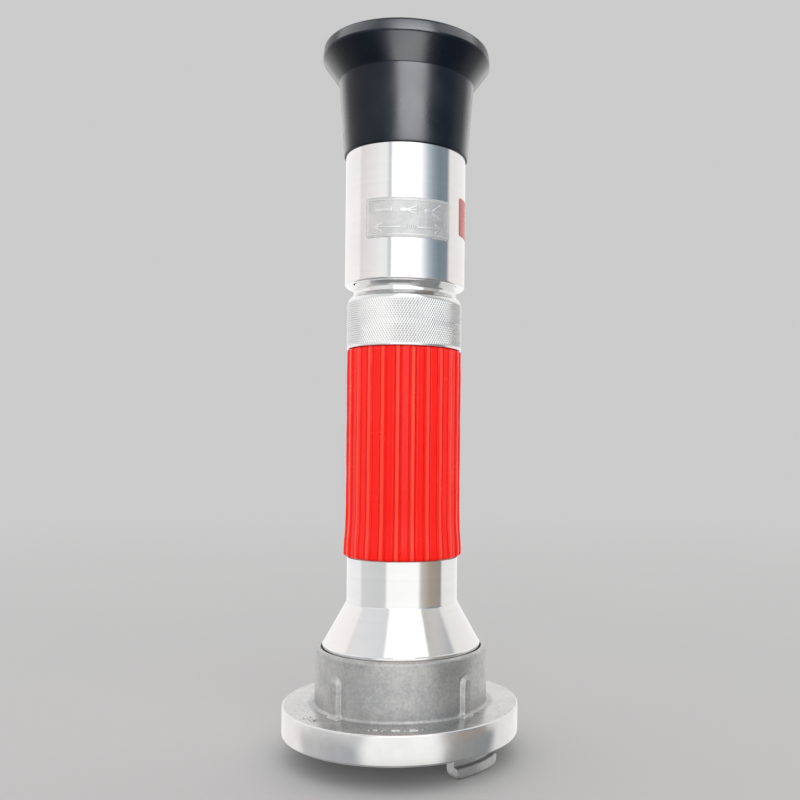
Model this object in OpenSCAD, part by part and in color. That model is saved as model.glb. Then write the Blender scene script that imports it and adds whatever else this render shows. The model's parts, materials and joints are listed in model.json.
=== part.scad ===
// Fire hose nozzle: a straight-barrel branch with a swivelling hose coupling, a ribbed rubber
// grip and a turning spray head. Turning the head screws it along the barrel, from shut
// through straight jet (drawn here) to wide fog.
// Millimetres. The origin is the centre of the coupling's mating face, +Z runs along the
// water way towards the outlet, and the function plate faces -Y.

/* [Hose coupling] */
// Outside diameter of the lug flange
flange_d = 111; // [110:0.5:114]
// Height of the lug flange
flange_h = 13.5; // [13.2:0.1:14.5]
// Outside diameter of the collar behind the flange
collar_d = 81; // [81:0.5:83]
// Height of the collar's top edge above the mating face
collar_top = 40.1; // [39:0.1:42]
// Diameter over the heads of the two coupling hooks
hook_d = 96.6; // [96:0.2:97]
// Angle that each coupling hook spans
hook_arc = 34.6; // [30:0.2:36]
// Direction of the first coupling hook
hook_dir = -42; // [-60:1:-30]
// Number of wrench ribs round the collar
wrench_ribs = 4; // [2:1:6]

/* [Barrel and grip] */
// Bore of the water way at the hose end
inlet_d = 63.5; // [63:0.1:64]
// Bore of the water way inside the grip
waterway_d = 38; // [36:0.5:39]
// Outside diameter of the neck below the grip
neck_d = 52.2; // [52:0.2:54]
// Length of the bare neck below the grip
neck_len = 20.9; // [15:0.1:30]
// Length of the rubber grip
grip_len = 97.6; // [80:0.2:120]
// Diameter over the grip's ribs
grip_d = 54; // [53.6:0.1:56]
// Number of ribs round the grip
grip_ribs = 24; // [12:1:30]

/* [Valve body] */
// Diameter over the knurled band
knurl_d = 54.2; // [54:0.1:56]
// Length of the knurled band below its rounded shoulder
knurl_len = 20.1; // [18:0.1:26]
// Diameter of the bare stem of the valve body that the head slides on
slide_d = 48.2; // [48:0.1:48.8]

/* [Spray head] */
// Outside diameter of the head sleeve
sleeve_d = 56.5; // [56.2:0.1:58]
// Diameter over the rubber bumper's rim
bumper_d = 79; // [76:0.2:80]
// Length of the rubber bumper
bumper_len = 51.1; // [50:0.1:56]
// Advance of the head in one turn
thread_lead = 18; // [16:1:20]
// Number of thread starts between the valve body and the head
thread_starts = 3; // [2:1:4]
// Diameter of the throat that the baffle shuts
throat_d = 27; // [26:0.5:28]
// Diameter of the baffle disc
baffle_d = 33; // [32:0.5:34]
// Travel of the head from straight jet to shut
shut_travel = 7; // [6:0.5:7]
// Number of teeth round the fog ring
fog_teeth = 24; // [12:1:30]

/* [Hidden] */
$fn = 96;

// Clearances: a running fit, a fit between fixed pieces, and the slack of the spray thread
run_gap = 0.05;
seat_gap = 0.05;
thread_gap = 0.35;
// Overlap that joins two shapes of one piece
weld = 0.5;

// Coupling
flange_r = flange_d / 2;
collar_r = collar_d / 2;
ring_bore_r = collar_r - 2.8;
web_z = flange_h - 2;
hook_r = hook_d / 2;
hook_neck_r = hook_r - 2.7;
hook_in_r = 40;
hook_face_z = -6;
hook_end_z = -11.1;
lip_r = hook_neck_r + 0.6;
lip_h = 4.5;
channel_r = hook_r + 0.9;
slot_arc = hook_arc + 3;

// Barrel foot, inside the coupling
foot_r = ring_bore_r - run_gap;
foot_z = 1;
foot_h = 9;
foot_flange_r = hook_in_r - 0.5;
wire_d = 2.4;
wire_r = ring_bore_r - run_gap / 2;
wire_z = 18;
gasket_z = -0.6;
gasket_r = 38.1;
seat_z = 0.5;
seat_thread_z = 7;
seat_top_z = 16;
seat_r = 33.9;
inlet_r = inlet_d / 2;

// Heights along the barrel
cone_z = collar_top + 1.5;
cone_len = 19.3;
neck_z = cone_z + cone_len;
grip_z = neck_z + neck_len;
grip_top = grip_z + grip_len;
crown_z = grip_top + knurl_len;

// Barrel
neck_r = neck_d / 2;
grip_in_r = neck_r - 1.2;
waterway_r = waterway_d / 2;
spigot_r = 23.2;
spigot_top = grip_top + 17.9;
seal_d = 1.8;
seal_groove_h = 2.3;
seal_proud = 0.02;
body_seal_r = spigot_r - seal_d / 2 + seal_proud;
body_seal_z = grip_top + 8.1;
spider_top = spigot_top + 4.1;
hub_z = grip_top + 9.6;

// Grip
grip_r = grip_d / 2;
rib_r = 1.7;
rib_rise = 0.8;
rib_turn = 9.1;

// Valve body
knurl_r = knurl_d / 2;
slide_r = slide_d / 2;
crown_r = 5.4;
crown_edge_h = 3.4;
valve_bore_r = 16.5;
thread_r = slide_r - 0.2;
thread_depth = 1.4;
thread_z = crown_z + 25;
thread_len = 20.5;
seal_r = slide_r - 1.9;
valve_top = thread_z + 46.95;
seal_lower_z = valve_top - 10.95;
seal_upper_z = valve_top - 4.95;

// Head
sleeve_r = sleeve_d / 2;
sleeve_z = crown_z + 9.3;
sleeve_top = sleeve_z + 61.1;
bumper_top = sleeve_top + bumper_len;
bumper_r = bumper_d / 2;
head_spigot_r = 25.3;
head_bore_r = 19.5;
throat_r = throat_d / 2;
throat_z = sleeve_top + 11.1;
wiper_z = sleeve_z + 5.7;
wiper_h = 3;
wiper_r = 26.5;
fog_z = sleeve_top + 30.1;
fog_tail_r = 22.45;
fog_in_r = 20;
fog_r = 28;

// Baffle
stem_r = 4;
baffle_r = baffle_d / 2;
baffle_z = throat_z + shut_travel + seat_gap;
baffle_seal_h = 2;
baffle_h = 6;
baffle_cone_h = 11;
baffle_top = baffle_z + baffle_seal_h + baffle_h + seat_gap;
washer_h = 1.2;
nut_flats = 13;
nut_h = 6.5;

// Thread angles of one start, as crest, flank and root in degrees of turn
crest_arc = 120 / thread_starts;
flank_arc = 60 / thread_starts;
thread_step = 10;

// Points of an arc round a centre, from one angle to another
function arc(centre, r, from, to, n = 8) =
    [for (i = [0:n]) centre + r * [cos(from + (to - from) * i / n), sin(from + (to - from) * i / n)]];

// Solid turned from an outline of [radius, height] points
module turned(outline) rotate_extrude() polygon(outline);

// Plain ring with a square section
module ring(r_in, r_out, z_low, z_high)
    turned([[r_in, z_low], [r_out, z_low], [r_out, z_high], [r_in, z_high]]);

// Round-section ring, for seals, wires and the grooves that hold them
module round_ring(r, z, section_d)
    rotate_extrude() translate([r, z]) circle(d = section_d);

// Copies set evenly round the axis
module around(count, first = 0)
    for (i = [0:count - 1]) rotate(first + i * 360 / count) children();

// Hexagon nut standing on a given height
module hex_nut(across_flats, height, z) {
    hex_fn = 6;
    translate([0, 0, z]) difference() {
        cylinder(d = across_flats / cos(180 / hex_fn), h = height, $fn = hex_fn);
        translate([0, 0, -weld]) cylinder(r = stem_r + seat_gap, h = height + 2 * weld);
    }
}

// Curved label lying on the head sleeve
module curved_label(from, arc_deg, z_low, z_high, thickness)
    rotate_extrude(angle = arc_deg, start = from)
        translate([sleeve_r + seat_gap / 2, z_low]) square([thickness, z_high - z_low]);

// Section of the spray thread at one height: a trapezoid for each start, set outwards by slack
module thread_section(slack = 0) {
    crest = thread_r + slack;
    root = thread_r - thread_depth + slack;
    points = [for (s = [0:thread_starts - 1]) for (a = [0:thread_step:360 / thread_starts - thread_step])
        let (r = a <= crest_arc ? crest : (a < crest_arc + flank_arc ? (crest + root) / 2 :
            (a <= 2 * crest_arc + flank_arc ? root : (crest + root) / 2)),
            turn = s * 360 / thread_starts + a)
        r * [cos(turn), sin(turn)]];
    polygon(points);
}

// Right-hand multi-start screw between two heights, in step with the height of the thread's start
module screw(z_low, z_high, slack = 0) {
    turn = (z_high - z_low) * 360 / thread_lead;
    translate([0, 0, z_low]) rotate((z_low - thread_z) * 360 / thread_lead)
        linear_extrude(z_high - z_low, twist = -turn, slices = ceil(turn / thread_step), segments = 0)
            thread_section(slack);
}

// One coupling hook: a block let into the flange, a neck, and a head that stands out from it
module hook() {
    edge = 0.8;
    rotate_extrude(angle = hook_arc, start = -hook_arc / 2) polygon([
        [hook_in_r, hook_end_z], [hook_r - edge, hook_end_z], [hook_r, hook_end_z + edge],
        [hook_r, hook_face_z], [hook_neck_r, hook_face_z], [hook_neck_r, 0],
        [channel_r + weld, 0], [channel_r + weld, web_z + weld], [hook_in_r, web_z + weld]
    ]);
}

// Gap in the flange's lip that lets in the other half's hook
module entry_slot()
    rotate_extrude(angle = slot_arc, start = -slot_arc / 2)
        translate([lip_r - weld, -weld]) square([channel_r - lip_r + weld, lip_h + 2 * weld]);

// Upright rib with a round top, for the coupling wrench
module wrench_rib() {
    rib_w = 6.8;
    rib_h = 18.1;
    sunk = 1.5;
    proud = 2;
    translate([collar_r - sunk, 0, flange_h]) rotate([90, 0, 90]) linear_extrude(sunk + proud) {
        translate([-rib_w / 2, -weld]) square([rib_w, rib_h - rib_w / 2 + weld]);
        translate([0, rib_h - rib_w / 2]) circle(d = rib_w);
    }
}

module lug_ring() {
    edge = 0.8;
    root = 1.5;
    rim = 1.6;
    mouth = 0.5;
    color("lightslategray") difference() {
        union() {
            turned(concat(
                [[lip_r, 0]],
                arc([flange_r - edge, edge], edge, -90, 0),
                arc([flange_r - edge, flange_h - edge], edge, 0, 90),
                arc([collar_r + root, flange_h + root], root, -90, -180),
                arc([collar_r - rim, collar_top - rim], rim, 0, 90),
                arc([ring_bore_r + mouth, collar_top - mouth], mouth, 90, 180),
                [[ring_bore_r, web_z], [channel_r, web_z], [channel_r, lip_h], [lip_r, lip_h]]));
            around(2, hook_dir) hook();
            around(wrench_ribs, 45) wrench_rib();
        }
        round_ring(wire_r, wire_z, wire_d + 2 * run_gap);
        around(2, hook_dir + 90) entry_slot();
    }
}

// Washer that carries the coupling's pull between the barrel's foot and the lug ring
module swivel_washer()
    color("ivory") ring(foot_r + 2 * run_gap, foot_flange_r, foot_z + foot_h + run_gap, web_z - seat_gap);

// Open wire ring that keeps the lug ring on the barrel
module retaining_wire() {
    gap_arc = 20;
    color("silver") rotate_extrude(angle = 360 - gap_arc, start = gap_arc / 2)
        translate([wire_r, wire_z]) circle(d = wire_d);
}

// Face seal of the coupling, notched over the lip of its seat
module gasket() {
    notch_r = seat_r + 1.2;
    notch_z = 2.1;
    color("dimgray") turned([
        [notch_r, gasket_z], [gasket_r, gasket_z], [gasket_r, seat_thread_z - seat_gap],
        [seat_r + seat_gap, seat_thread_z - seat_gap], [seat_r + seat_gap, notch_z], [notch_r, notch_z]
    ]);
}

// Screwed-in tube that holds the gasket in the barrel's foot
module gasket_seat() {
    lip = 1.1;
    lip_top = 2;
    color("silver") turned([
        [inlet_r, seat_z], [seat_r + lip, seat_z], [seat_r + lip, lip_top], [seat_r, lip_top],
        [seat_r, seat_top_z - seat_gap], [inlet_r, seat_top_z - seat_gap]
    ]);
}

// Turned barrel: foot, cone, neck, a recess under the grip and the spigot for the valve body
module barrel() {
    show_r = foot_r - 0.45;
    step = 0.4;
    fillet_r = 1.5;
    cone_turn = atan((show_r - step - neck_r) / cone_len);
    throat_in_z = neck_z + 1;
    inlet_end_z = foot_z + 35;
    color("gainsboro") difference() {
        turned(concat(
            [[gasket_r + 2 * seat_gap, foot_z], [foot_flange_r, foot_z],
                [foot_flange_r, foot_z + foot_h], [foot_r, foot_z + foot_h],
                [foot_r, collar_top - 2], [show_r, collar_top - 2], [show_r, cone_z - step],
                [show_r - step, cone_z]],
            arc([neck_r + fillet_r, neck_z + fillet_r * tan(cone_turn / 2)], fillet_r, 180 + cone_turn, 180),
            [[neck_r, grip_z], [grip_in_r, grip_z], [grip_in_r, grip_top], [spigot_r, grip_top],
                [spigot_r, spigot_top], [waterway_r, spigot_top], [waterway_r, throat_in_z],
                [inlet_r, inlet_end_z], [inlet_r, seat_top_z],
                [seat_r + seat_gap, seat_top_z], [seat_r + seat_gap, seat_thread_z],
                [gasket_r + 2 * seat_gap, seat_thread_z]]));
        round_ring(wire_r, wire_z, wire_d + 2 * run_gap);
        ring(body_seal_r - seal_d / 2 - run_gap, spigot_r + weld,
            body_seal_z - seal_groove_h / 2, body_seal_z + seal_groove_h / 2);
    }
}

// Ribbed rubber grip, flared at its lower end
module grip() {
    flare = 0.9;
    end_r = 2;
    flare_top = 10;
    inner_r = grip_in_r + seat_gap;
    valley_r = grip_r - rib_rise;
    low = grip_z + seat_gap;
    color("red") union() {
        translate([0, 0, low + end_r]) linear_extrude(grip_len - end_r - 2 * seat_gap) difference() {
            union() {
                circle(valley_r);
                around(grip_ribs, rib_turn) translate([grip_r - rib_r, 0]) circle(rib_r);
            }
            circle(inner_r);
        }
        turned(concat(
            [[inner_r, low]],
            arc([grip_r + flare - end_r, low + end_r], end_r, -90, 0),
            [[valley_r - flare / 2, low + flare_top], [inner_r, low + flare_top]]));
    }
}

// Knurled band, shoulder, slide, spray thread and the sealing end that the head runs on
module valve_body() {
    edge = 0.4;
    edge_z = crown_z + crown_edge_h;
    edge_r = knurl_r - crown_r + sqrt(crown_r * crown_r - crown_edge_h * crown_edge_h);
    crown_turn = asin(crown_edge_h / crown_r);
    groove_r = seal_r - seal_d;
    color("silver") difference() {
        union() {
            turned(concat(
                [[0, grip_top], [knurl_r - edge, grip_top], [knurl_r, grip_top + edge]],
                arc([knurl_r - crown_r, crown_z], crown_r, 0, crown_turn),
                [[slide_r, edge_z + edge_r - slide_r], [slide_r, thread_z - weld], [0, thread_z - weld]]));
            screw(thread_z - 2 * weld, thread_z + thread_len);
            translate([0, 0, thread_z]) cylinder(r = seal_r, h = valve_top - thread_z);
        }
        translate([0, 0, grip_top - weld]) cylinder(r = spigot_r + seat_gap, h = spider_top - grip_top + weld);
        translate([0, 0, grip_top]) cylinder(r = valve_bore_r, h = valve_top - grip_top + weld);
        for (z = [seal_lower_z, seal_upper_z])
            ring(groove_r, seal_r + weld, z - seal_groove_h / 2, z + seal_groove_h / 2);
    }
}

// Rubber seal in the barrel's spigot
module body_seal()
    color("dimgray") round_ring(body_seal_r, body_seal_z, seal_d);

// Rubber seals between the valve body and the head's sealing bore
module sleeve_seal(z)
    color("dimgray") round_ring(seal_r - seal_d / 2 + seal_proud, z, seal_d);

module sleeve_seal_lower() sleeve_seal(seal_lower_z);

module sleeve_seal_upper() sleeve_seal(seal_upper_z);

// Spider clamped between barrel and valve body: its hub carries the baffle's stem
module spider() {
    ring_r = spigot_r - 0.1;
    ring_in_r = waterway_r - 1.5;
    hub_r = 8.5;
    vane_w = 3;
    vanes = 4;
    top = spider_top - seat_gap;
    color("silver") difference() {
        union() {
            ring(ring_in_r, ring_r, spigot_top + seat_gap, top);
            translate([0, 0, hub_z]) cylinder(r = hub_r, h = top - hub_z);
            around(vanes, 45) translate([hub_r - 1, -vane_w / 2, hub_z + 1])
                cube([waterway_r - hub_r + 0.8, vane_w, top - hub_z - 1]);
        }
        translate([0, 0, hub_z - weld]) cylinder(r = stem_r + seat_gap, h = top - hub_z + 2 * weld);
    }
}

// Shouldered steel stem through the spider's hub
module stem() {
    shoulder_r = 5.5;
    tail = 1.5;
    stem_low = hub_z - nut_h - tail;
    stem_top = baffle_top + washer_h + nut_h + tail;
    cone_low = baffle_z - baffle_cone_h;
    color("silver") turned([
        [0, stem_low], [stem_r, stem_low], [stem_r, spider_top], [shoulder_r, spider_top],
        [shoulder_r, cone_low], [stem_r, cone_low], [stem_r, stem_top], [0, stem_top]
    ]);
}

// Nut that pulls the stem down on the spider
module stem_nut()
    color("silver") hex_nut(nut_flats, nut_h, hub_z - nut_h - seat_gap);

// Tapered plug under the baffle, which swells to fill the throat
module baffle_cone() {
    low = baffle_z - baffle_cone_h + seat_gap;
    top = baffle_z - seat_gap;
    end_r = throat_r - 0.9;
    color("silver") turned([
        [stem_r + seat_gap, low], [stem_r + 2, low], [end_r, top - 1], [end_r, top],
        [stem_r + seat_gap, top]
    ]);
}

// Rubber washer that shuts on the throat seat
module baffle_seal()
    color("dimgray") ring(stem_r + seat_gap, baffle_r - 0.3, baffle_z, baffle_z + baffle_seal_h - seat_gap);

// Disc that turns the jet outwards
module baffle_disc() {
    low = baffle_z + baffle_seal_h;
    crown_in_r = 10;
    color("silver") turned([
        [stem_r + seat_gap, low], [baffle_r, low], [baffle_r, low + baffle_h / 2],
        [crown_in_r, low + baffle_h], [stem_r + seat_gap, low + baffle_h]
    ]);
}

module baffle_washer()
    color("silver") ring(stem_r + seat_gap, 2 * stem_r, baffle_top, baffle_top + washer_h);

module baffle_nut()
    color("silver") hex_nut(nut_flats, nut_h, baffle_top + washer_h + seat_gap);

// Rubber ring in the sleeve's skirt that wipes the slide
module wiper_ring()
    color("dimgray") ring(slide_r + run_gap, wiper_r, wiper_z, wiper_z + wiper_h);

// Head sleeve: skirt with a tapered mouth, wiper groove, spray thread, sealing bore and the
// spigot for the bumper
module sleeve() {
    mouth_r = wiper_r - 0.2;
    mouth_h = 1.8;
    edge = 1;
    land_r = slide_r + 0.3;
    female_low = thread_z + 5.5;
    female_top = female_low + 13;
    relief_top = female_top + 8.5;
    crest_in_r = thread_r - thread_depth + thread_gap - 0.3;
    web_low = valve_top + 5.05;
    web_in_r = throat_r + 1;
    tail_z = fog_z - 8.1;
    color("whitesmoke") difference() {
        turned(concat(
            [[mouth_r, sleeve_z]],
            arc([sleeve_r - edge, sleeve_z + edge], edge, -90, 0),
            [[sleeve_r, sleeve_top], [head_spigot_r, sleeve_top], [head_spigot_r, fog_z],
                [fog_tail_r + seat_gap, fog_z], [fog_tail_r + seat_gap, tail_z], [head_bore_r, tail_z],
                [head_bore_r, throat_z - 2.5], [web_in_r, throat_z - 2.5], [web_in_r, web_low],
                [seal_r + run_gap, web_low], [seal_r + run_gap, relief_top], [land_r, relief_top],
                [land_r, female_top], [crest_in_r, female_top], [crest_in_r, female_low],
                [land_r, female_low], [land_r, sleeve_z + mouth_h]]));
        ring(land_r - weld, wiper_r + 2 * run_gap, wiper_z - 2 * run_gap, wiper_z + wiper_h + 2 * run_gap);
        screw(female_low - 2 * weld, female_top + 2 * weld, thread_gap);
    }
}

// Screwed-in seat that the baffle seal shuts on
module throat_seat()
    color("silver") turned([
        [throat_r + 1, throat_z - 2.5 + seat_gap], [head_bore_r - seat_gap, throat_z - 2.5 + seat_gap],
        [head_bore_r - seat_gap, throat_z], [throat_r, throat_z], [throat_r, throat_z - 1.5]
    ]);

// Moulded rubber bumper that guards the outlet
module bumper() {
    foot_r = sleeve_r + 0.95;
    edge = 0.5;
    waist_r = foot_r + 2.55;
    waist_z = fog_z + 4.4;
    flare_turn = 42;
    fillet_r = 1;
    fillet_z = waist_z - fillet_r * tan(flare_turn / 2);
    shoulder_r = 5.3;
    slope_out = bumper_r - waist_r - shoulder_r * (1 - cos(flare_turn));
    shoulder_z = waist_z + slope_out / tan(flare_turn) + shoulder_r * sin(flare_turn);
    rim = 1.9;
    mouth_r = bumper_r - 3.4;
    inside_r = fog_r + 0.2;
    color("#1c1c1f") turned(concat(
        [[head_spigot_r + seat_gap, sleeve_top + seat_gap], [foot_r - edge, sleeve_top + seat_gap],
            [foot_r, sleeve_top + edge]],
        arc([waist_r + fillet_r, fillet_z], fillet_r, 180, 180 - flare_turn, 3),
        arc([bumper_r - shoulder_r, shoulder_z], shoulder_r, -flare_turn, 0),
        arc([bumper_r - rim, bumper_top - rim], rim, 0, 90, 6),
        [[mouth_r, bumper_top], [inside_r, fog_z + 6], [inside_r, fog_z],
            [head_spigot_r + seat_gap, fog_z]]));
}

// Toothed ring round the outlet that breaks the spray into fog
module fog_ring() {
    tail_z = fog_z - 8;
    top = fog_z + 6;
    notch_w = 3;
    notch_h = 3;
    color("silver") difference() {
        turned([
            [fog_in_r, tail_z], [fog_tail_r, tail_z], [fog_tail_r, fog_z + seat_gap],
            [fog_r, fog_z + seat_gap], [fog_r, top], [fog_in_r + 2, top], [fog_in_r, top - notch_h]
        ]);
        around(fog_teeth) translate([fog_in_r - 1, -notch_w / 2, top - notch_h])
            cube([fog_r - fog_in_r + 2, notch_w, notch_h + 1]);
    }
}

// Thin metal plate that shows which way to turn the head
module function_plate()
    color("lightgray") curved_label(-128.6, 83, sleeve_z + 18.6, sleeve_z + 36.5, 0.35);

// Raised plastic label on the right of the head
module side_label()
    color("indianred") curved_label(-29, 90, sleeve_z + 23.2, sleeve_z + 40.8, 0.3);

lug_ring();
swivel_washer();
retaining_wire();
gasket();
gasket_seat();
barrel();
grip();
valve_body();
body_seal();
sleeve_seal_lower();
sleeve_seal_upper();
spider();
stem();
stem_nut();
baffle_cone();
baffle_seal();
baffle_disc();
baffle_washer();
baffle_nut();
wiper_ring();
sleeve();
throat_seat();
bumper();
fog_ring();
function_plate();
side_label();
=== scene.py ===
import json
import math

import bpy
import numpy as np
from mathutils import Matrix, Vector


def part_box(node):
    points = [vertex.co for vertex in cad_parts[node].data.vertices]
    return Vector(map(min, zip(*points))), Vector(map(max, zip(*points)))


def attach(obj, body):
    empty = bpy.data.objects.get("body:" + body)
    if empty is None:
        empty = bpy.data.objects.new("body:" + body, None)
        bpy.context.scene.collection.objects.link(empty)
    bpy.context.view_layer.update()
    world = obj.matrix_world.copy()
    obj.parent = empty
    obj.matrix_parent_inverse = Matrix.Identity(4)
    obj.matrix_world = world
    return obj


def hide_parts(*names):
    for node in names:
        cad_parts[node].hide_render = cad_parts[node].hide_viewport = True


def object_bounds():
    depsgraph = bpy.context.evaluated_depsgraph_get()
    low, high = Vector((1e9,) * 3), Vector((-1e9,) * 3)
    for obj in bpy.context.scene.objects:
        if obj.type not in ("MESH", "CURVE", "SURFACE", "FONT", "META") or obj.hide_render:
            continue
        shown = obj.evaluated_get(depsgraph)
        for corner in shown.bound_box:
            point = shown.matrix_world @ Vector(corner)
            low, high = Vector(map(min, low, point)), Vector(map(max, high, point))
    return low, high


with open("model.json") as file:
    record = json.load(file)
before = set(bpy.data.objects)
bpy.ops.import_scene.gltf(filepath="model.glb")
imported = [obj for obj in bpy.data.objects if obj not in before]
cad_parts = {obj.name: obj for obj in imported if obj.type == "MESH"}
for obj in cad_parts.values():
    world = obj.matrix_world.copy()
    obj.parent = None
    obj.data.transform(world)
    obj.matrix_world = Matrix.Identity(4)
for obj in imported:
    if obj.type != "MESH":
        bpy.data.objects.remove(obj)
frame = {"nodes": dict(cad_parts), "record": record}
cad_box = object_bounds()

# Outlines and sizes of pieces are in millimetres. piece() makes their meshes in metres, in the CAD's frame.
# Materials, lights, floor and camera are in metres. Angles round the object start at +X; the front is at -90.
MM = 0.001


def span(node):
    """Largest radius, lowest and highest height of a CAD node, in millimetres."""
    low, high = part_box(node)
    return max(high.x, -low.x, high.y, -low.y) / MM, low.z / MM, high.z / MM


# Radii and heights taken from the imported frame, and the collar's radius, which no box gives
FLANGE_R, HOOK_LOW, COLLAR_TOP = span("lug_ring")
GRIP_LOW, GRIP_TOP = span("grip")[1:]
KNURL_R, KNURL_LOW, VALVE_TOP = span("valve_body")
SLEEVE_R = span("sleeve")[0]
BUMPER_R, BUMPER_LOW, BUMPER_TOP = span("bumper")
PLATE_R, PLATE_LOW, PLATE_HIGH = span("function_plate")
LABEL_R, LABEL_LOW, LABEL_HIGH = span("side_label")
COLLAR_R = 40.5


# ---------------------------------------------------------------- meshes

def arc(centre_r, centre_z, radius, start, end, steps=8):
    """Points of an arc in an outline, from one angle to another in degrees."""
    angles = np.radians(np.linspace(start, end, steps + 1))
    return [(centre_r + radius * math.cos(a), centre_z + radius * math.sin(a)) for a in angles]


def dense(outline, step, low=-math.inf, high=math.inf):
    """Closed outline with the parts between two heights cut into short steps."""
    out = []
    for (r0, z0), (r1, z1) in zip(outline, outline[1:] + outline[:1]):
        inside = low <= min(z0, z1) and max(z0, z1) <= high
        parts = max(1, math.ceil(math.hypot(r1 - r0, z1 - z0) / step)) if inside else 1
        out += [(r0 + (r1 - r0) * i / parts, z0 + (z1 - z0) * i / parts) for i in range(parts)]
    return out


def smooth(edge0, edge1, x):
    """Rises softly from 0 at the first edge to 1 at the second."""
    t = np.clip((x - edge0) / (edge1 - edge0), 0, 1)
    return t * t * (3 - 2 * t)


def polar(r, a, z):
    """Points at radius r, angle a in radians and height z."""
    return np.stack([r * np.cos(a), r * np.sin(a), z], -1)


def grid_faces(rows, columns, wrap_columns):
    """Quads of a grid whose rows close on themselves, and whose columns may."""
    faces = []
    last = columns if wrap_columns else columns - 1
    for i in range(rows):
        n = (i + 1) % rows
        for j in range(last):
            k = (j + 1) % columns
            faces.append((i * columns + j, i * columns + k, n * columns + k, n * columns + j))
    return faces


def swept(outline, angles, push=None):
    """Points of an outline at each angle round the axis. push(r, z, angle) adds to the radius."""
    r, z = (np.array(outline)[:, i][:, None] * np.ones(len(angles)) for i in (0, 1))
    a = angles[None, :] * np.ones(r.shape)
    if push:
        r = r + push(r, z, a)
    return polar(r, a, z).reshape(-1, 3)


def turned(outline, columns, push=None):
    """Points and faces of a closed outline turned right round the axis."""
    angles = np.linspace(0, 2 * math.pi, columns, endpoint=False)
    return swept(outline, angles, push), grid_faces(len(outline), columns, True)


def sector(outline, start, sweep, columns):
    """Points and faces of a closed outline turned through part of a circle, with flat ends."""
    rows = len(outline)
    faces = grid_faces(rows, columns, False)
    faces.append([i * columns for i in range(rows)])
    faces.append([(rows - 1 - i) * columns + columns - 1 for i in range(rows)])
    return swept(outline, np.radians(np.linspace(start, start + sweep, columns))), faces


def thin_sheet(front, back):
    """Points and faces of a closed sheet, from the two grids of points on its front and its back."""
    rows, columns = front.shape[:2]
    faces = grid_faces(2 * rows, columns, False)
    for j in (0, columns - 1):
        for i in range(rows - 1):
            ring = [q * columns + j for q in (i, i + 1, 2 * rows - 2 - i, 2 * rows - 1 - i)]
            faces.append(ring[::-1] if j else ring)
    return np.concatenate([front, back[::-1]]).reshape(-1, 3), faces


def piece(name, points, faces, body, slot, nodes=(), crease=32):
    """Mesh object that rides on a body, in its slot's finish, with smooth shading broken at creases."""
    mesh = bpy.data.meshes.new(name)
    mesh.from_pydata((points * MM).tolist(), [], faces)
    mesh.polygons.foreach_set("use_smooth", np.ones(len(mesh.polygons), bool))
    mesh.set_sharp_from_angle(angle=math.radians(crease))
    mesh.materials.append(FINISH[slot])
    obj = bpy.data.objects.new(name, mesh)
    bpy.context.scene.collection.objects.link(obj)
    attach(obj, body)
    if nodes:
        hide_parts(*nodes)
    return obj


def mark_points(obj, name, values):
    """Value at each point of a piece, which its material reads by name."""
    obj.data.attributes.new(name, "FLOAT", "POINT").data.foreach_set("value", values.astype(np.float32))


# ---------------------------------------------------------------- node graphs

def grey(level):
    """Colour with the same red, green and blue."""
    return (level,) * 3


class Graph:
    """Short way of writing a node tree."""

    def __init__(self, tree):
        self.tree = tree

    def add(self, kind, values=(), **settings):
        """New node with its settings, and with each input linked to a socket or set to a value."""
        node = self.tree.nodes.new("ShaderNode" + kind)
        for key, value in settings.items():
            setattr(node, key, value)
        for key, value in dict(values).items():
            if isinstance(value, bpy.types.NodeSocket):
                self.tree.links.new(value, node.inputs[key])
            else:
                node.inputs[key].default_value = value
        return node

    def math(self, operation, a, b=0.0):
        return self.add("Math", {0: a, 1: b}, operation=operation).outputs[0]

    def blend(self, a, b, share):
        """Weighted sum: a share of a, and the rest of b."""
        return self.math("ADD", self.math("MULTIPLY", a, share), self.math("MULTIPLY", b, 1 - share))

    def scale(self, vector, factors):
        return self.add("VectorMath", {0: vector, 1: factors}, operation="MULTIPLY").outputs[0]

    def noise(self, vector, scale, detail, rough):
        values = {"Vector": vector, "Scale": scale, "Detail": detail, "Roughness": rough}
        return self.add("TexNoise", values).outputs["Fac"]

    def attribute(self, name):
        return self.add("Attribute", attribute_name=name).outputs["Fac"]

    def band(self, value, low, high, to_low=0.0, to_high=1.0):
        """Maps a value softly from one range to another, held at both ends."""
        values = {0: value, 1: low, 2: high, 3: to_low, 4: to_high}
        return self.add("MapRange", values, interpolation_type="SMOOTHSTEP").outputs[0]

    def ramp(self, value, stops):
        """Colour ramp through (place, colour) stops given in rising order."""
        node = self.add("ValToRGB", {0: value})
        elements = node.color_ramp.elements
        elements.remove(elements[1])
        elements[0].position = stops[0][0]
        elements[0].color = (*stops[0][1], 1)
        for place, colour in stops[1:]:
            elements.new(place).color = (*colour, 1)
        return node.outputs[0]

    def mix(self, factor, a, b):
        node = self.add("Mix", data_type="RGBA", blend_type="MIX")
        for index, value in ((0, factor), (6, a), (7, b)):
            if isinstance(value, bpy.types.NodeSocket):
                self.tree.links.new(value, node.inputs[index])
            else:
                node.inputs[index].default_value = (*value, 1)
        return node.outputs[2]

    def bump(self, height, strength, distance, normal=None):
        """Normal with a height added. The distance is in millimetres."""
        values = {"Height": height, "Strength": strength, "Distance": distance * MM}
        if normal:
            values["Normal"] = normal
        return self.add("Bump", values).outputs[0]


# ---------------------------------------------------------------- materials

def material(name):
    """New material with its graph, its shader node and the place in the CAD's frame."""
    made = bpy.data.materials.new(name)
    made.use_nodes = True
    graph = Graph(made.node_tree)
    shader = made.node_tree.nodes["Principled BSDF"]
    place = graph.add("TexCoord").outputs["Object"]
    return made, graph, shader, place


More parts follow.
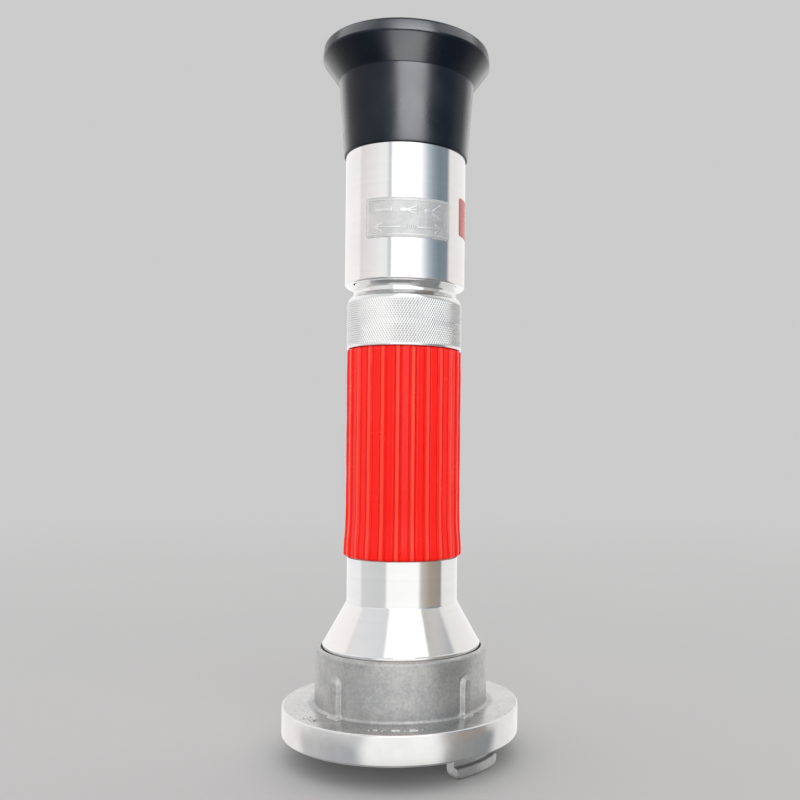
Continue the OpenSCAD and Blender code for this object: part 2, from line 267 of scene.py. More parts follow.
def set_shader(graph, shader, **values):
    """Links or sets the shader's inputs, named with _ for a space."""
    for key, value in values.items():
        socket = shader.inputs[key.replace("_", " ")]
        if isinstance(value, bpy.types.NodeSocket):
            graph.tree.links.new(value, socket)
        else:
            socket.default_value = value


def turned_metal(name, dark, light, rough_low, rough_high, lines=0.12):
    """Metal from the lathe: rings of fine tool lines, smudges, and a few handling scratches."""
    made, g, shader, place = material(name)
    rings = g.noise(g.scale(place, (14, 14, 2600)), 1, 4, 0.65)
    wide_rings = g.noise(g.scale(place, (5, 5, 420)), 1, 2, 0.5)
    smudge = g.noise(place, 55, 5, 0.6)
    scratch_field = g.noise(g.scale(place, (900, 900, 60)), 1, 2, 0.5)
    patch = g.noise(place, 130, 2, 0.5)
    scratch = g.math("MULTIPLY", g.band(scratch_field, 0.69, 0.73), g.band(patch, 0.5, 0.62))
    tone = g.blend(smudge, wide_rings, 0.6)
    colour = g.mix(g.band(tone, 0.36, 0.64), dark, light)
    rough = g.math("ADD", g.band(tone, 0.3, 0.7, rough_low, rough_high), g.math("MULTIPLY", scratch, 0.12))
    normal = g.bump(rings, lines, 0.05)
    normal = g.bump(scratch, 0.08, 0.05, normal)
    set_shader(g, shader, Base_Color=colour, Metallic=1.0, Roughness=rough, Normal=normal)
    return made


def cast_metal(name):
    """Cast aluminium: mottled collar, flange turned smooth on rim and top, and painted shade in its crevices.
    """
    made, g, shader, place = material(name)
    x, y, height = g.add("SeparateXYZ", {0: place}).outputs
    radius = g.math("SQRT", g.math("ADD", g.math("MULTIPLY", x, x), g.math("MULTIPLY", y, y)))
    rim = g.band(radius, (FLANGE_R - 1.0) * MM, (FLANGE_R - 0.3) * MM)
    outside_collar = g.band(radius, (COLLAR_R + 2) * MM, (COLLAR_R + 4) * MM)
    top = g.math("MULTIPLY", g.math("MULTIPLY", outside_collar, g.band(height, 0.0, 0.002)), 0.8)
    machined = g.math("MAXIMUM", rim, top)
    blotch = g.noise(place, 95, 6, 0.62)
    speckle = g.noise(place, 700, 5, 0.7)
    grain = g.noise(place, 900, 4, 0.6)
    pits = g.band(g.noise(place, 520, 3, 0.55), 0.28, 0.40)
    tool = g.noise(g.scale(place, (12, 12, 1500)), 1, 3, 0.6)

    tone = g.blend(blotch, speckle, 0.45)
    spread = g.band(tone, 0.36, 0.64)
    rough_colour = g.mix(spread, (0.44, 0.445, 0.45), (0.60, 0.60, 0.59))
    top_colour = g.mix(spread, grey(0.50), (0.66, 0.655, 0.65))
    rim_colour = g.mix(g.band(blotch, 0.3, 0.7), (0.80, 0.80, 0.805), (0.88, 0.875, 0.87))
    colour = g.mix(rim, g.mix(top, rough_colour, top_colour), rim_colour)
    # Painted shade: crevices found by ambient occlusion are darkened to brown-grey, more in some patches than
    # others.
    open_air = g.add("AmbientOcclusion", {"Distance": 0.006}, samples=6).outputs["AO"]
    painted_crevice_shade = g.math("MULTIPLY", g.band(open_air, 0.55, 0.25), g.band(blotch, 0.3, 0.6, 0.5, 0.85))
    colour = g.mix(painted_crevice_shade, colour, (0.17, 0.15, 0.13))

    top_rough = g.band(tone, 0.3, 0.7, 0.20, 0.30)
    rim_rough = g.band(blotch, 0.3, 0.7, 0.16, 0.23)
    rough = g.mix(machined, g.band(grain, 0.3, 0.7, 0.36, 0.48), g.mix(rim, top_rough, rim_rough))
    fade = g.math("SUBTRACT", 1.0, g.math("MULTIPLY", machined, 0.92))
    normal = g.bump(g.blend(blotch, grain, 0.7), g.math("MULTIPLY", fade, 0.30), 0.8)
    normal = g.bump(pits, g.math("MULTIPLY", fade, 0.12), 0.15, normal)
    normal = g.bump(tool, g.math("MULTIPLY", rim, 0.05), 0.04, normal)
    metallic = g.mix(machined, grey(0.88), grey(1.0))
    set_shader(g, shader, Base_Color=colour, Metallic=metallic, Roughness=rough, Normal=normal)
    return made


def etched_plate(name):
    """Thin aluminium plate: dull etched ground, brighter worn tops on its raised marks."""
    made, g, shader, place = material(name)
    raised = g.band(g.attribute("raised"), 0.03, 0.12)
    grain = g.noise(place, 2600, 3, 0.6)
    blotch = g.noise(place, 180, 4, 0.6)
    ground = g.mix(g.band(blotch, 0.35, 0.65), (0.66, 0.665, 0.67), (0.78, 0.78, 0.775))
    colour = g.mix(raised, ground, (0.86, 0.86, 0.85))
    rough = g.mix(raised, g.band(grain, 0.3, 0.7, 0.34, 0.46), grey(0.26))
    normal = g.bump(grain, g.math("MULTIPLY", g.math("SUBTRACT", 1.0, raised), 0.25), 0.06)
    metallic = g.mix(raised, grey(0.55), grey(0.72))
    set_shader(g, shader, Base_Color=colour, Metallic=metallic, Roughness=rough, Normal=normal)
    return made


def rubber(name, dark, light, rough_low, rough_high, specular, dust, dust_amount):
    """Moulded rubber: soft waves, fine grain, scuffs, and a little dust on rough patches."""
    made, g, shader, place = material(name)
    wave = g.noise(g.scale(place, (1, 1, 0.45)), 110, 3, 0.5)
    grain = g.noise(place, 1700, 3, 0.6)
    patch = g.noise(place, 48, 5, 0.6)
    scuff_field = g.noise(g.scale(place, (260, 260, 1400)), 1, 3, 0.55)
    scuff = g.math("MULTIPLY", g.band(scuff_field, 0.63, 0.70), g.band(patch, 0.5, 0.66))
    colour = g.mix(g.band(patch, 0.32, 0.68), dark, light)
    colour = g.mix(g.math("MULTIPLY", scuff, dust_amount), colour, dust)
    rough = g.math("ADD", g.band(patch, 0.3, 0.7, rough_low, rough_high), g.math("MULTIPLY", scuff, 0.06))
    normal = g.bump(wave, 0.10, 0.5)
    normal = g.bump(grain, 0.07, 0.05, normal)
    set_shader(g, shader, Base_Color=colour, Roughness=rough, Normal=normal, Specular_IOR_Level=specular)
    return made


def grip_rubber(name):
    """Red rubber, with a painted highlight on the ridges and painted shade in the creases beside them."""
    red, bright_red, dusty_red = (0.94, 0.006, 0.002), (0.98, 0.010, 0.003), (0.95, 0.06, 0.03)
    made = rubber(name, red, bright_red, 0.20, 0.28, 0.20, dusty_red, 0.12)
    g = Graph(made.node_tree)
    shader = made.node_tree.nodes["Principled BSDF"]
    plain = shader.inputs["Base Color"].links[0].from_socket
    ridge_sheen_crease_shade = g.attribute("ridge_sheen_crease_shade")
    # Painted highlight: ridge tops take a paler, dustier red.
    with_ridge_sheen = g.mix(g.band(ridge_sheen_crease_shade, 0.5, 1.0), plain, (0.98, 0.060, 0.034))
    # Painted shade: the creases beside the ridges take a darker red.
    set_shader(g, shader, Base_Color=g.mix(g.band(ridge_sheen_crease_shade, 0.5, 0.0), with_ridge_sheen, (0.72, 0.004, 0.002)))
    return made


def plastic(name, dark, light, rough, bump):
    """Plastic with soft patches of colour and gloss, and a fine grain."""
    made, g, shader, place = material(name)
    patch = g.noise(place, 140, 4, 0.6)
    grain = g.noise(place, 2200, 2, 0.5)
    colour = g.mix(g.band(patch, 0.35, 0.65), dark, light)
    roughness = g.band(g.noise(place, 300, 3, 0.5), 0.3, 0.7, rough - 0.07, rough + 0.07)
    set_shader(g, shader, Base_Color=colour, Roughness=roughness, Normal=g.bump(grain, bump, 0.05))
    return made


# The finish of each material slot. The bumper is near black because the lights linked to it are very strong.
FINISHES = [
    (turned_metal, "polished_aluminium", (0.875, 0.88, 0.885), (0.915, 0.915, 0.91), 0.05, 0.11, 0.05),
    (cast_metal, "cast_aluminium"),
    (etched_plate, "plate_aluminium"),
    (grip_rubber, "grip_rubber"),
    (rubber, "bumper_rubber", (0.0004, 0.0014, 0.0032), (0.0007, 0.0020, 0.0042), 0.26, 0.33, 0.22,
     (0.03, 0.03, 0.034), 0.3),
    (rubber, "seal_rubber", (0.010, 0.010, 0.011), grey(0.022), 0.42, 0.58, 0.4, grey(0.12), 0.4),
    (turned_metal, "stainless_steel", grey(0.50), (0.62, 0.615, 0.60), 0.16, 0.28),
    (plastic, "washer_nylon", (0.72, 0.70, 0.62), (0.80, 0.78, 0.70), 0.45, 0.1),
    (plastic, "label_plastic", (0.68, 0.14, 0.14), (0.76, 0.18, 0.18), 0.18, 0.05),
]
FINISH = {slot: make(slot, *looks) for make, slot, *looks in FINISHES}


# ---------------------------------------------------------------- grip

GRIP_SKIN_R = 27.0
RIDGE_H = 0.8
RIDGES = 24
FIRST_RIDGE = 9.1


def ridge_offset(a):
    """Distance along the grip's skin from the nearest ridge."""
    pitch = 2 * math.pi / RIDGES
    return np.abs((a - math.radians(FIRST_RIDGE) + pitch / 2) % pitch - pitch / 2) * GRIP_SKIN_R


def grip_push(r, z, a):
    """Ridges with a crease beside each, a slight bulge between them, waviness, and the flare at the foot."""
    off = ridge_offset(a)
    ridge = 1 - smooth(0.5, 1.45, off)
    crease = 0.14 * (1 - smooth(0.0, 0.42, np.abs(off - 1.62)))
    bulge = 0.10 * np.cos((off - 2.6) * math.pi / 1.9) * smooth(1.6, 2.0, off)
    wave = 0.05 * np.sin(z * 0.21 + 9 * np.sin(a)) + 0.03 * np.sin(z * 0.47 + 5 * np.cos(2 * a))
    foot = 0.9 * (1 - smooth(GRIP_LOW + 3, GRIP_LOW + 26, z)) ** 2
    ends = smooth(GRIP_LOW, GRIP_LOW + 1.6, z) * smooth(0, 0.9, GRIP_TOP - z)
    outside = smooth(25.3, 25.9, r)
    return outside * ((RIDGE_H * ridge - crease + bulge + wave * ridge) * ends + foot)


def grip_sleeve():
    """Ribbed rubber sleeve, with the ridges marked for a painted highlight and the creases for painted shade.
    """
    valley_r = GRIP_SKIN_R - RIDGE_H
    inside_r = 24.95
    low_edge, top_edge = 1.6, 0.6
    outline = [(inside_r, GRIP_LOW), *arc(valley_r - low_edge, GRIP_LOW + low_edge, low_edge, -90, 0),
               *arc(valley_r - top_edge, GRIP_TOP - top_edge, top_edge, 0, 90, 4), (inside_r, GRIP_TOP)]
    points, faces = turned(dense(outline, 1.0), 960, grip_push)
    obj = piece("grip_sleeve", points, faces, "barrel_group", "grip_rubber", ["grip"], 60)
    off = ridge_offset(np.arctan2(points[:, 1], points[:, 0]))
    # Painted light marks: ridge tops for a highlight, creases for shade.
    painted_ridge_sheen = 1 - smooth(0.3, 1.1, off)
    painted_crease_shade = 1 - smooth(0.1, 0.75, np.abs(off - 1.6))
    mark_points(obj, "ridge_sheen_crease_shade", 0.5 + 0.5 * painted_ridge_sheen - 0.5 * painted_crease_shade)
    return obj


# ---------------------------------------------------------------- valve body

CROWN_Z = KNURL_LOW + 20.1
THREAD_Z = CROWN_Z + 25
THREAD_LEN = 20.5
SLIDE_R = 24.1


def knurl(z, a):
    """Depth of the diamond knurl: two sets of grooves crossing at 31 degrees either side of upright."""
    count = 140
    depth = 0.3
    lean = math.tan(math.radians(31)) * count / (2 * math.pi * KNURL_R)
    turns = count * a / (2 * math.pi)
    walls = [np.abs((turns + s * lean * z) % 1 - 0.5) * 2 for s in (1, -1)]
    field = 1 - np.minimum(*walls)
    window = smooth(KNURL_LOW + 0.7, KNURL_LOW + 1.5, z) * (1 - smooth(CROWN_Z + 0.9, CROWN_Z + 1.9, z))
    return -depth * smooth(0.4, 1.0, field) * window


def spray_thread(z, a):
    """Three-start thread: how far the surface lies under its crest."""
    starts, lead, depth = 3, 18, 1.4
    turn = np.degrees(a) - (z - THREAD_Z) * 360 / lead
    part = turn % (360 / starts)
    rising = smooth(100, 120, part)
    falling = 1 - smooth(40, 60, part)
    return -depth * (1 - np.maximum(rising, falling))


def valve_push(r, z, a):
    """Knurl on the band, and thread above the slide."""
    band = (r > SLIDE_R + 1.4) & (z < CROWN_Z + 3)
    thread = (r > SLIDE_R - 0.5) & (z > THREAD_Z - 0.6) & (z < THREAD_Z + THREAD_LEN + 0.1)
    return np.where(band, knurl(z, a), 0) + np.where(thread, spray_thread(z, a), 0)


def knurled_body():
    """Knurled band and crown, slide, spray thread and seal grooves, with the bore and socket inside."""
    bore_r = 16.5
    socket_r, socket_top = 23.25, KNURL_LOW + 22
    thread_r, thread_top = SLIDE_R - 0.2, THREAD_Z + THREAD_LEN
    groove_r, groove_depth, groove_half = SLIDE_R - 1.9, 1.8, 1.15
    crown = arc(KNURL_R - 5.4, CROWN_Z, 5.4, 0, 39, 10)
    crown_r, crown_top = crown[-1]
    cone_top = crown_top + crown_r - SLIDE_R
    outline = [(socket_r, KNURL_LOW), *arc(KNURL_R - 0.4, KNURL_LOW + 0.4, 0.4, -90, 0, 3), *crown,
               (SLIDE_R + 0.25, cone_top - 0.25), (SLIDE_R, cone_top + 0.3),
               (SLIDE_R, THREAD_Z - 0.5), (thread_r, THREAD_Z - 0.49),
               (thread_r, thread_top), (groove_r, thread_top + 0.5)]
    for seal in ("sleeve_seal_lower", "sleeve_seal_upper"):
        middle = sum(span(seal)[1:]) / 2
        low, high = middle - groove_half, middle + groove_half
        outline += [(groove_r, low), (groove_r - groove_depth, low),
                    (groove_r - groove_depth, high), (groove_r, high)]
    outline += [(groove_r, VALVE_TOP - 0.4), (groove_r - 0.4, VALVE_TOP),
                (bore_r + 0.4, VALVE_TOP), (bore_r, VALVE_TOP - 0.4),
                (bore_r, socket_top), (socket_r, socket_top)]
    outline = dense(outline, 0.25, KNURL_LOW, CROWN_Z + 2.6)
    outline = dense(outline, 0.8, THREAD_Z - 0.5, thread_top)
    points, faces = turned(outline, 1120, valve_push)
    piece("knurled_body", points, faces, "barrel_group", "polished_aluminium", ["valve_body"], 50)


# ---------------------------------------------------------------- bumper

def outlet_bumper():
    """Slightly opening skirt, a crease, a straight flare to the widest edge, and a rim that leans in."""
    sleeve_top = BUMPER_LOW - 0.05
    spigot_r = 25.35
    foot_r = SLEEVE_R + 0.95
    waist_r, waist_z = foot_r + 2.55, sleeve_top + 34.5
    widest_z = BUMPER_TOP - 5.4
    rim_r = BUMPER_R - 0.6
    mouth_r = BUMPER_R - 3.4
    fog_r, fog_z = 28.2, sleeve_top + 30.1
    foot_edge, crease_edge, widest_edge, rim_edge, mouth_edge, fog_edge = 0.6, 1.2, 2.2, 1.9, 0.8, 1.2
    flare = math.degrees(math.atan2(BUMPER_R - waist_r, widest_z - waist_z))
    lean = math.degrees(math.atan2(BUMPER_R - rim_r, BUMPER_TOP - rim_edge - widest_z))
    crease_z = waist_z - crease_edge * math.tan(math.radians(flare / 2))
    outline = [(spigot_r, BUMPER_LOW),
               *arc(foot_r - foot_edge, BUMPER_LOW + foot_edge, foot_edge, -90, 0, 5),
               *arc(waist_r + crease_edge, crease_z, crease_edge, 180, 180 - flare, 6),
               *arc(BUMPER_R - widest_edge, widest_z, widest_edge, -flare, lean, 10),
               *arc(rim_r - rim_edge, BUMPER_TOP - rim_edge, rim_edge, lean, 90, 10),
               *arc(mouth_r + mouth_edge, BUMPER_TOP - mouth_edge, mouth_edge, 90, 165, 5),
               *arc(fog_r + fog_edge, fog_z + 6 + fog_edge, fog_edge, 0, -90, 4),
               (fog_r, fog_z + 5.6), (fog_r, fog_z), (spigot_r, fog_z)]
    return piece("outlet_bumper", *turned(dense(outline, 2.0), 256), "head", "bumper_rubber", ["bumper"], 24)


# ---------------------------------------------------------------- coupling

LIP_R, LIP_H = 46.2, 4.5
CHANNEL_R, WEB_Z = 49.2, 11.5
FLANGE_H = 13.5
HOOK_DIR = -42.0


def lug_push(r, z, a):
    """Four wrench ribs on the collar, rounded at the top and spread at the foot, and two gaps in the lip."""
    degrees = np.degrees(a)
    half = 3.4
    rib_top = FLANGE_H + 18.1
    across = np.radians(np.abs(degrees % 90 - 45)) * COLLAR_R
    reach = z - (rib_top - half)
    distance = np.where(reach > 0, np.hypot(across, reach), across)
    foot = 1.2 * (1 - smooth(FLANGE_H, FLANGE_H + 2.4, z)) ** 2
    side = 1 - smooth(half - 1.7 + foot, half + 0.1 + foot, distance)
    on_wall = (r > COLLAR_R - 0.4) & (z > FLANGE_H + 0.01) & (z < FLANGE_H + 21)
    rib = np.where(on_wall, side * np.maximum(COLLAR_R + 1.95 + foot - r, 0), 0)
    from_gap = np.abs((degrees - HOOK_DIR) % 180 - 90)
    on_lip = (np.abs(r - LIP_R) < 0.2) & (z < LIP_H + 0.1)
    gap = np.where(on_lip & (from_gap < 18.8), CHANNEL_R - LIP_R - 0.02, 0)
    return rib + gap


def coupling_ring():
    """Flange with its lip and channel, and the collar with its ribs."""
    bore_r = 37.7
    outline = [(LIP_R, 0.3), (LIP_R + 0.3, 0), *arc(FLANGE_R - 0.9, 0.9, 0.9, -90, 0, 4),
               *arc(FLANGE_R - 0.8, FLANGE_H - 0.8, 0.8, 0, 90, 4),
               *arc(COLLAR_R + 1.5, FLANGE_H + 1.5, 1.5, -90, -180, 8),
               *arc(COLLAR_R - 1.5, COLLAR_TOP - 1.5, 1.5, 0, 90, 8),
               *arc(bore_r + 0.5, COLLAR_TOP - 0.5, 0.5, 90, 180, 4),
               (bore_r, WEB_Z), (CHANNEL_R, WEB_Z), (CHANNEL_R, LIP_H),
               (LIP_R + 0.2, LIP_H), (LIP_R, LIP_H - 0.3)]
    outline = dense(outline, 0.45, FLANGE_H + 0.05, COLLAR_TOP - 1.4)
    piece("coupling_ring", *turned(outline, 1440, lug_push), "coupling", "cast_aluminium", ["lug_ring"], 40)


def coupling_hooks():
    """Two hooks: a neck let into the flange and a head that stands out from it, with round lower corners."""
    inside_r, hook_r = 40, 48.3
    neck_r, root_r = hook_r - 2.7, CHANNEL_R + 0.2
    sweep = 34.6
    corner = 2.6
    outline = [(inside_r, HOOK_LOW + 1), (inside_r + 1, HOOK_LOW),
               *arc(hook_r - 1.3, HOOK_LOW + 1.3, 1.3, -90, 0, 5), *arc(hook_r - 0.9, -6.9, 0.9, 0, 90, 4),
               *arc(neck_r + 0.8, -5.2, 0.8, -90, -180, 4), (neck_r, 0.2),
               (root_r, 0.2), (root_r, WEB_Z + 0.3), (inside_r, WEB_Z + 0.3)]
    for name, turn in (("coupling_hook_1", HOOK_DIR), ("coupling_hook_2", HOOK_DIR + 180)):
        points, faces = sector(outline, turn - sweep / 2, sweep, 72)
        from_middle = np.degrees(np.arctan2(points[:, 1], points[:, 0])) - turn
        to_end = math.radians(1) * hook_r * (sweep / 2 - np.abs((from_middle + 180) % 360 - 180))
        lift = corner - np.sqrt(np.maximum(corner ** 2 - np.maximum(corner - to_end, 0) ** 2, 0))
        points[:, 2] += lift * (1 - smooth(HOOK_LOW, -6.5, points[:, 2]))
        obj = piece(name, points, faces, "coupling", "cast_aluminium", crease=35)
        bevel = obj.modifiers.new("edges", "BEVEL")
        bevel.width = 0.5 * MM
        bevel.segments = 3
        bevel.limit_method = "ANGLE"
        bevel.angle_limit = math.radians(50)


def stroke(u, v, x0, y0, x1, y1, half):
    """Cover of a line with round ends, 1 on it and 0 away from it."""
    dx, dy = x1 - x0, y1 - y0
    t = np.clip(((u - x0) * dx + (v - y0) * dy) / (dx * dx + dy * dy), 0, 1)
    return 1 - smooth(half - 0.08, half + 0.14, np.hypot(u - x0 - t * dx, v - y0 - t * dy))


def strokes(u, v, lines):
    """Cover of several lines, each given by its two ends and its half width."""
    marks = np.zeros(u.shape)
    for line in lines:
        marks = np.maximum(marks, stroke(u, v, *line))
    return marks


def cast_marks(name, centre, middle_r, length, lines):
    """Worn raised marks on the flange's top: a patch sunk in it from which only the strokes stand out."""
    u, v = np.meshgrid(np.linspace(-length, length, round(length * 12)), np.linspace(-1.9, 1.9, 26))
    a = math.radians(centre) + u / middle_r
    front = polar(middle_r - v, a, FLANGE_H - 0.15 + 0.7 * strokes(u, v, lines))
    back = polar(middle_r - v, a, np.full(u.shape, FLANGE_H - 0.6))
    piece(name, *thin_sheet(front, back), "coupling", "cast_aluminium", crease=60)


# ---------------------------------------------------------------- plate and label

PLATE_W = math.radians(83) * PLATE_R
LABEL_W = math.radians(90) * LABEL_R


def label(back_r, front_r, centre, width, low, high, corner, step, relief=None):
    """Points, faces and relief of a thin curved label with round corners and bevelled edges.

    The width runs along the arc, and relief(u, v) adds to the face.
    """
    bevel_w, bevel_h = 0.25, 0.12
    v = np.linspace(low, high, max(2, round((high - low) / step)) + 1)
    edge = np.minimum(v - low, high - v)
    cut = np.where(edge < corner, corner - np.sqrt(np.maximum(corner ** 2 - (corner - edge) ** 2, 0)), 0)
    reach = (width / 2 - cut)[:, None]
    u = np.linspace(-1, 1, max(2, round(width / step)) + 1)[None, :] * reach
    z = v[:, None] * np.ones(u.shape)
    lift = relief(u, z) if relief else np.zeros(u.shape)
    bevel = bevel_h * (1 - smooth(0, bevel_w, np.minimum(reach - np.abs(u), edge[:, None])))
    a = math.radians(centre) + u / front_r
    points, faces = thin_sheet(polar(front_r + lift - bevel, a, z), polar(np.full(u.shape, back_r), a, z))
    return points, faces, np.concatenate([lift, np.zeros(lift.shape)]).ravel()


def plate_relief(u, v):
    """Raised border, three generic jets from narrow to wide, and two generic arrows beside a scale."""
    high = PLATE_HIGH - PLATE_LOW
    y = v - PLATE_LOW - high / 2
    jet_y, arrow_y = 3.2, -4.4
    lines = []
    for x, spread in ((-11.5, 0.5), (0, 1.7), (11.5, 3.2)):
        lines.append((x - 3.4, jet_y, x - 1.4, jet_y, 0.75))
        for k in (-1, 0, 1):
            lines.append((x - 0.4, jet_y + 0.3 * k, x + 3.6, jet_y + spread * k, 0.24))
    for side in (-1, 1):
        lines.append((side * 4.2, arrow_y, side * 15.5, arrow_y, 0.28))
        for k in (-1, 1):
            lines.append((side * 12.9, arrow_y + 1.7 * k, side * 15.7, arrow_y, 0.34))
    for k in range(-3, 4):
        lines.append((k * 0.95, arrow_y - 0.5, k * 0.95, arrow_y + 0.5 + 0.25 * (3 - abs(k)), 0.16))
    inset = np.minimum(PLATE_W / 2 - np.abs(u), high / 2 - np.abs(y))
    border = np.where((inset > 0.9) & (inset < 1.5), 1.0, 0.0)
    return 0.14 * np.maximum(border, strokes(u, y, lines))


def function_plate():
    """Plate on the front of the head, with its relief marked for its material."""
    points, faces, raised = label(SLEEVE_R + 0.025, PLATE_R - 0.12, -87.1, PLATE_W, PLATE_LOW, PLATE_HIGH,
                                  1.6, 0.17, plate_relief)
    obj = piece("function_plate_relief", points, faces, "head", "plate_aluminium", ["function_plate"], 50)
    mark_points(obj, "raised", raised)


def side_label():
    """Plain red label on the right of the head."""
    points, faces, _ = label(SLEEVE_R + 0.025, LABEL_R - 0.05, 16.0, LABEL_W, LABEL_LOW, LABEL_HIGH, 1.2, 0.5)
    piece("side_label_relief", points, faces, "head", "label_plastic", ["side_label"], 50)


# ---------------------------------------------------------------- light, floor and camera

BACKDROP = grey(0.60)


def studio_world():
    """Soft studio with a bright front, grey gaps beside it and a bright back, which the metal mirrors.

    Each band of height has its own ring of brightness. Degrees run from the camera's side to the right.
    """
    world = bpy.data.worlds.new("studio")
    world.use_nodes = True
    bpy.context.scene.world = world
    g = Graph(world.node_tree)
    x, y, up = g.add("SeparateXYZ", {0: g.add("TexCoord").outputs["Generated"]}).outputs
    turn = g.math("ARCTAN2", x, g.math("MULTIPLY", y, -1.0))
    place = g.math("ADD", g.math("DIVIDE", turn, 2 * math.pi), 0.5)

    def ring(*stops):
        """Ramp round the horizon through (degrees, grey or colour) stops."""
        colours = [(degrees, level if isinstance(level, tuple) else grey(level)) for degrees, level in stops]
        return g.ramp(place, [(degrees / 360 + 0.5, colour) for degrees, colour in colours])

    high = ring((-180, 1.05), (-150, 0.95), (-96, (0.90, 0.90, 0.91)), (-90, (0.80, 0.80, 0.81)),
                (-32, (0.74, 0.74, 0.75)), (-26, 1.35), (44, 1.35), (49, (0.56, 0.55, 0.53)),
                (75, (0.62, 0.60, 0.58)), (115, (0.88, 0.87, 0.86)), (180, 1.05))
    upper = ring((-180, (1.1, 1.08, 1.08)), (-155, (1.0, 0.98, 0.98)), (-98, (0.95, 0.92, 0.91)),
                 (-92, (0.78, 0.745, 0.74)), (-57, (0.885, 0.865, 0.86)), (-46, (0.93, 0.92, 0.915)),
                 (-35, 0.90), (-31, (0.62, 0.64, 0.66)), (-28, (0.68, 0.70, 0.72)), (-24, 1.35), (24, 1.35),
                 (34, (0.90, 0.91, 0.95)), (44, (0.49, 0.545, 0.61)), (55, (0.29, 0.34, 0.385)),
                 (67, (0.20, 0.25, 0.285)), (86, (0.23, 0.265, 0.305)), (93, (0.84, 0.815, 0.79)),
                 (155, (0.97, 0.95, 0.94)), (180, (1.1, 1.08, 1.08)))
    lower = ring((-180, 1.05), (-140, 0.93), (-96, 0.90), (-90, 0.70), (-35, 0.66), (-30, (1.05, 1.05, 1.04)),
                 (33, (1.08, 1.08, 1.06)), (40, (0.56, 0.53, 0.50)), (60, (0.40, 0.33, 0.265)),
                 (86, (0.32, 0.29, 0.27)), (91, (0.84, 0.83, 0.82)), (140, (0.90, 0.89, 0.88)), (180, 1.05))
    low = ring((-180, 1.05), (-140, (0.96, 0.94, 0.93)), (-112, (0.92, 0.89, 0.88)),
               (-105, (0.60, 0.59, 0.585)), (-45, (0.43, 0.44, 0.455)), (-33, (1.05, 1.05, 1.04)),
               (36, (1.05, 1.05, 1.04)), (47, (0.34, 0.34, 0.33)), (80, (0.29, 0.30, 0.30)),
               (98, (0.25, 0.265, 0.28)), (103, (0.84, 0.82, 0.81)), (180, 1.05))
    under = ring((-180, 0.5), (-100, (0.34, 0.34, 0.35)), (-60, (0.26, 0.26, 0.27)), (0, (0.34, 0.33, 0.32)),
                 (50, (0.20, 0.20, 0.21)), (110, (0.22, 0.22, 0.23)), (180, 0.5))
    lit = under
    rises = ((-0.62, -0.45, low), (-0.26, -0.16, lower), (-0.04, 0.05, upper), (0.42, 0.62, high))
    for start, end, sky in rises:
        lit = g.mix(g.band(up, start, end), lit, sky)
    seen = g.add("LightPath").outputs["Is Camera Ray"]
    g.tree.links.new(g.mix(seen, lit, BACKDROP), g.tree.nodes["Background"].inputs["Color"])


def strip_light(name, place, aim, size, strength, receiver):
    """Soft rectangular light that only lights one piece. Strength is its brightness as seen from there."""
    data = bpy.data.lights.new(name, "AREA")
    data.shape = "RECTANGLE"
    data.size, data.size_y = size
    data.energy = strength * math.pi * size[0] * size[1]
    light = bpy.data.objects.new(name, data)
    bpy.context.scene.collection.objects.link(light)
    light.location = place
    light.rotation_euler = (Vector(place) - Vector(aim)).to_track_quat("Z", "Y").to_euler()
    light.visible_camera = False
    group = bpy.data.collections.new(name + "_receivers")
    group.objects.link(receiver)
    light.light_linking.receiver_collection = group


def bumper_lights(bumper):
    """Highlights on the bumper: down its front, under its flare, along its rim and at both edges."""
    head, flare, rim = (0, 0, 0.30), (0, 0, 0.31), (0, 0, 0.32)
    strip_light("front_softbox", (0.15, -1.0, 0.72), head, (0.95, 0.85), 20.0, bumper)
    strip_light("table_glow", (0.01, -0.30, 0.0), flare, (0.31, 0.20), 13.0, bumper)
    for side, x, y in (("left", -0.46, -0.08), ("front", 0.0, -0.44), ("right", 0.46, -0.08)):
        strip_light("rim_glow_" + side, (x, y, 0.74), rim, (0.60, 0.26), 4.5, bumper)
    for side, x in (("left", -0.42), ("right", 0.42)):
        strip_light("back_glow_" + side, (x, 0.50, 0.30), head, (0.40, 0.60), 1.2, bumper)


def grip_lights(grip):
    """Soft fill on the grip from the front and both sides."""
    middle = (0, 0, 0.17)
    strip_light("grip_softbox", (0.10, -1.0, 0.42), middle, (0.60, 0.80), 2.2, grip)
    for side, x in (("left", -0.84), ("right", 0.84)):
        strip_light("grip_side_" + side, (x, -0.25, 0.20), middle, (0.80, 0.80), 0.6, grip)


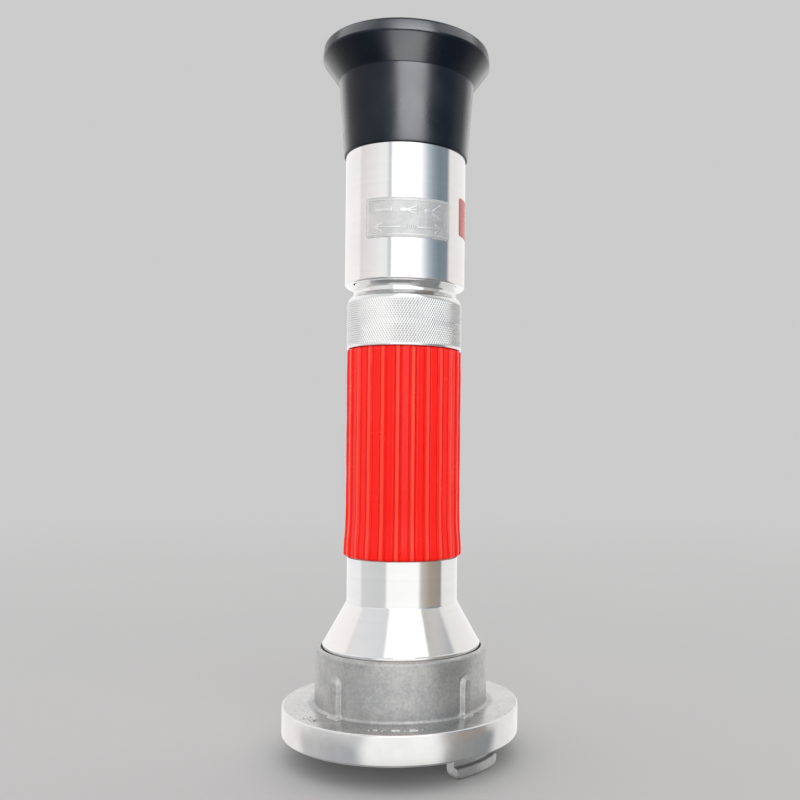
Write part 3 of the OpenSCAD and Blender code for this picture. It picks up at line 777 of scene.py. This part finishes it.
def pale_floor():
    """Round floor under the lowest point that fades into the backdrop with distance."""
    rings = [0.05 * 1.35 ** i for i in range(20)]
    columns = 96
    points = [(0.0, 0.0, cad_box[0].z)]
    for ring in rings:
        for j in range(columns):
            a = 2 * math.pi * j / columns
            points.append((ring * math.cos(a), ring * math.sin(a), cad_box[0].z))
    faces = [(0, 1 + j, 1 + (j + 1) % columns) for j in range(columns)]
    for i in range(len(rings) - 1):
        start, end = 1 + i * columns, 1 + (i + 1) * columns
        for j in range(columns):
            k = (j + 1) % columns
            faces.append((start + j, end + j, end + k, start + k))
    mesh = bpy.data.meshes.new("floor")
    mesh.from_pydata(points, [], faces)

    made, g, shader, place = material("pale_floor")
    distance = g.add("VectorMath", {0: place}, operation="LENGTH").outputs["Value"]
    colour = g.mix(g.noise(place, 6, 3, 0.5), grey(0.57), (0.59, 0.59, 0.587))
    normal = g.bump(g.noise(place, 900, 2, 0.5), 0.04, 0.1)
    set_shader(g, shader, Base_Color=colour, Roughness=0.75, Specular_IOR_Level=0.2, Normal=normal)
    glow = g.add("Emission", {"Color": (*BACKDROP, 1), "Strength": 1.0})
    faded = g.add("MixShader", {0: g.band(distance, 0.35, 1.6), 1: shader.outputs[0], 2: glow.outputs[0]})
    g.tree.links.new(faded.outputs[0], g.tree.nodes["Material Output"].inputs["Surface"])
    mesh.materials.append(made)
    floor = bpy.data.objects.new("floor", mesh)
    bpy.context.scene.collection.objects.link(floor)
    floor.visible_glossy = False


def front_camera():
    """Level camera in front of the object, at mid height, turned a little and shifted back onto it."""
    place, yaw, roll = (0, -0.440, 0.1344), -5.0, 0.56
    data = bpy.data.cameras.new("front")
    data.sensor_width = 36
    data.lens = 41.4
    data.shift_x = -0.1048
    data.shift_y = 0.0578
    data.clip_start = 0.01
    camera = bpy.data.objects.new("front", data)
    bpy.context.scene.collection.objects.link(camera)
    level = Matrix.Rotation(math.radians(yaw), 4, "Z") @ Matrix.Rotation(math.radians(90), 4, "X")
    camera.matrix_world = Matrix.Translation(place) @ level @ Matrix.Rotation(math.radians(roll), 4, "Z")
    bpy.context.scene.camera = camera


# ---------------------------------------------------------------- the whole nozzle and its studio

def finish_cad_nodes():
    """CAD nodes that stay take the finish of their slot in the record."""
    slot_of = {part["node"]: part["material_slot"] for part in frame["record"]["subparts"]}
    for name, obj in frame["nodes"].items():
        if not obj.hide_render:
            obj.data.materials.clear()
            obj.data.materials.append(FINISH[slot_of[name]])


grip = grip_sleeve()
knurled_body()
bumper = outlet_bumper()
coupling_ring()
coupling_hooks()
cast_marks("coupling_mark_front", -92, 49, 13, [
    (-11.5, -0.9, -11.5, 0.9, 0.55), (-9.6, 0, -8.4, 0, 0.8), (-6, -0.8, -4.8, 0.8, 0.5),
    (-2, 0, 1.5, 0, 0.5), (3.6, -0.9, 3.6, 0.9, 0.55), (5.6, 0.75, 8.2, 0.75, 0.42),
    (5.6, -0.75, 9, -0.75, 0.42), (11, -0.8, 11.8, 0.8, 0.5)])
cast_marks("coupling_mark_side", -143, 50, 4.5, [
    (-3, -0.9, -1.8, 0.9, 0.6), (0, 0, 1.4, 0, 0.6), (3.2, -0.8, 3.2, 0.8, 0.55)])
function_plate()
side_label()
finish_cad_nodes()

studio_world()
bumper_lights(bumper)
grip_lights(grip)
pale_floor()
front_camera()
bpy.context.scene.view_settings.view_transform = "Standard"
